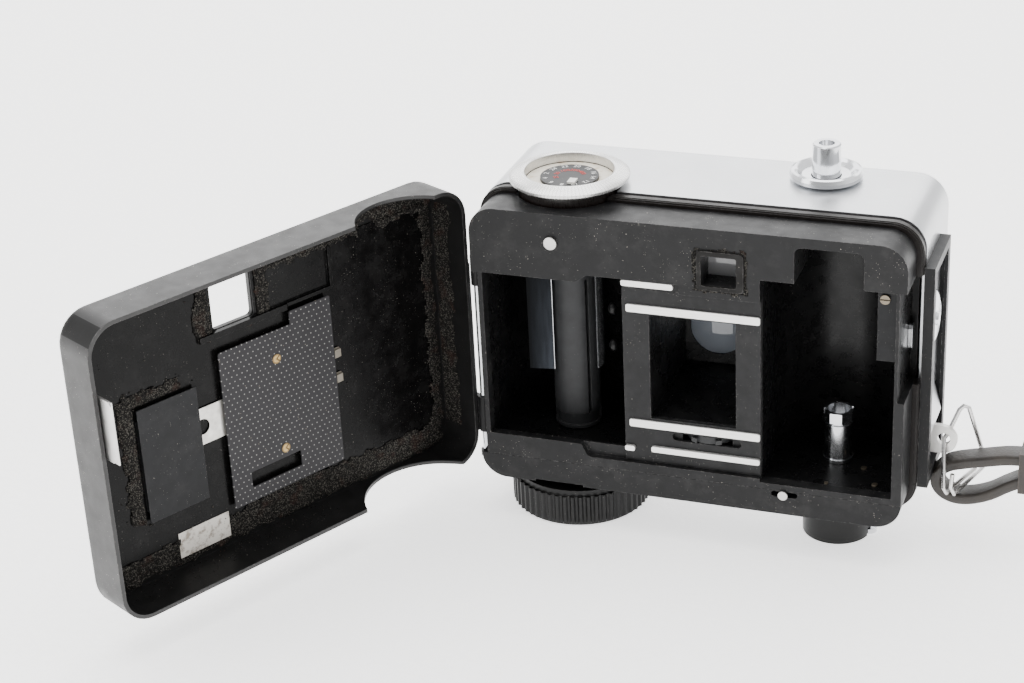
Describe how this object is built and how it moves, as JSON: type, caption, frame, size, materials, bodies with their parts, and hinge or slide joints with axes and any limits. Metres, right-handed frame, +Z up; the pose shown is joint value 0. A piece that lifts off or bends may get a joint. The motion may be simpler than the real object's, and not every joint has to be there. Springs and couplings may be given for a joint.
{
  "type": "half frame camera",
  "caption": "Compact spring motor half frame camera standing on its base knobs with its back door open, showing film chambers, gate and pressure plate.",
  "frame": {"origin": "centre of the tripod socket at its mouth, in the base of the body", "axes": "+Z up, the lens looks along -Y, the back faces +Y, the door is hinged on the +X side"},
  "size_m": [0.2357, 0.1376, 0.0767],
  "materials": {
    "satin_aluminium": "satin, brushed, with light scratches",
    "black_casting": "semi-matt black paint, worn at the edges",
    "black_knob": "fluted black plastic",
    "chrome": "polished chrome",
    "bright_steel": "bright steel",
    "grey_steel": "grey steel with fine dimples",
    "dial_cream": "aged cream lacquer",
    "brass": "dull brass",
    "front_plastic": "matt black",
    "glass": "clear, coated",
    "foam": "perished foam",
    "strap_leather": "dark brown leather"
  },
  "bodies": {
    "body": {"outer_shell": "satin_aluminium", "edge_band": "black_casting", "dial_floor": "dial_cream", "rear_frame": "black_casting", "take_up_well": "black_casting", "cassette_well": "black_casting", "light_tunnel": "black_casting", "bottom_cover": "black_casting", "front_panel": "front_plastic", "lens_barrel": "chrome", "lens_front_glass": "glass", "lens_rear_glass": "glass", "shutter_plate": "black_casting", "meter_window": "glass", "finder_front_window": "glass", "eyepiece_frame": "black_casting", "eyepiece_seal": "foam", "finder_glass": "glass", "gate_plate": "black_casting", "film_rails": "chrome", "film_arm": "chrome", "cassette_guide": "black_casting", "small_screws": "bright_steel", "shoe_frame": "black_casting", "shoe_plate": "satin_aluminium", "strap_lug": "bright_steel", "split_ring": "chrome", "strap": "strap_leather", "strap_coil": "strap_leather", "strap_keeper": "bright_steel", "hinge_knuckles": "black_casting", "hinge_pin": "chrome", "button_collar": "chrome", "tripod_bush": "satin_aluminium"},
    "door": {"door_shell": "black_casting", "door_lining": "black_casting", "door_hinge_leaf": "black_casting", "door_hook": "chrome", "light_seals": "foam", "plate_spring": "bright_steel", "cassette_leaf": "black_casting"},
    "plate": {"pressure_plate": "grey_steel", "plate_rivets": "brass"},
    "button": {"shutter_button": "chrome"},
    "dial": {"dial_ring": "satin_aluminium"},
    "counter": {"counter_disc": "front_plastic"},
    "wind": {"wind_knob": "black_knob", "wind_shaft": "bright_steel", "spring_barrel": "brass"},
    "spool": {"take_up_spool": "black_knob"},
    "sprocket_wheel": {"sprocket": "black_knob"},
    "rewind": {"rewind_knob": "black_knob", "rewind_fork": "chrome"},
    "crank": {"rewind_crank": "chrome"},
    "counter_pin": {"reset_pin": "chrome"},
    "slot_pin": {"release_pin": "chrome"},
    "catch": {"latch_catch": "chrome"},
    "contact": {"shoe_contact": "chrome"},
    "blade_a": {"shutter_blade_a": "black_casting"},
    "blade_b": {"shutter_blade_b": "black_casting"}
  },
  "joints": [
    {"name": "back_door", "type": "hinge", "parent": "body", "child": "door", "pos_m": [0.0452, 0.0082, 0.025], "axis": [0, 0, -1], "range_deg": [-117.4, 20]},
    {"name": "pressure_plate_slide", "type": "slide", "parent": "door", "child": "plate", "axis": [0.8878, -0.4602, 0], "range_m": [0, 0.0004], "stiffness_N_per_m": 400},
    {"name": "shutter_release", "type": "slide", "parent": "body", "child": "button", "axis": [0, 0, -1], "range_m": [0, 0.0015], "stiffness_N_per_m": 600},
    {"name": "dial_turn", "type": "hinge", "parent": "body", "child": "dial", "pos_m": [0.0264, 0.0034, 0.062], "axis": [0, 0, 1], "range_deg": [-150, 150]},
    {"name": "counter_turn", "type": "hinge", "parent": "body", "child": "counter", "pos_m": [0.0264, 0.0034, 0.061], "axis": [0, 0, 1], "range_deg": [-180, 180]},
    {"name": "wind_knob_turn", "type": "hinge", "parent": "body", "child": "wind", "pos_m": [0.0264, 0.0034, 0], "axis": [0, 0, 1], "continuous": true},
    {"name": "spool_turn", "type": "hinge", "parent": "body", "child": "spool", "pos_m": [0.0264, 0.0034, 0.025], "axis": [0, 0, 1], "continuous": true},
    {"name": "sprocket_turn", "type": "hinge", "parent": "body", "child": "sprocket_wheel", "pos_m": [-0.0041, 0.01025, 0.014], "axis": [0, 0, 1], "continuous": true},
    {"name": "rewind_turn", "type": "hinge", "parent": "body", "child": "rewind", "pos_m": [-0.0274, 0.0034, 0], "axis": [0, 0, 1], "continuous": true},
    {"name": "crank_fold", "type": "hinge", "parent": "rewind", "child": "crank", "pos_m": [-0.024, 0.0034, -0.00746], "axis": [0, -1, 0], "range_deg": [0, 140]},
    {"name": "counter_pin_press", "type": "slide", "parent": "body", "child": "counter_pin", "axis": [0, -1, 0], "range_m": [0, 0.0006], "stiffness_N_per_m": 300},
    {"name": "slot_pin_slide", "type": "slide", "parent": "body", "child": "slot_pin", "axis": [-1, 0, 0], "range_m": [-0.0012, 0.0018], "stiffness_N_per_m": 60},
    {"name": "catch_slide", "type": "slide", "parent": "body", "child": "catch", "axis": [0, 0, -1], "range_m": [0, 0.0025], "stiffness_N_per_m": 200},
    {"name": "contact_press", "type": "slide", "parent": "body", "child": "contact", "axis": [1, 0, 0], "range_m": [0, 0.0004], "stiffness_N_per_m": 400},
    {"name": "blade_a_turn", "type": "hinge", "parent": "body", "child": "blade_a", "pos_m": [0.00155, -0.0079, 0.0215], "axis": [0, 1, 0], "range_deg": [0, 20], "stiffness_Nm_per_rad": 0.0004},
    {"name": "blade_b_turn", "type": "hinge", "parent": "body", "child": "blade_b", "pos_m": [-0.00445, -0.0072, 0.0215], "axis": [0, 1, 0], "range_deg": [-20, 0]}
  ],
  "couplings": [
    {"joint": "blade_b_turn", "follows": "blade_a_turn", "ratio": -1}
  ]
}
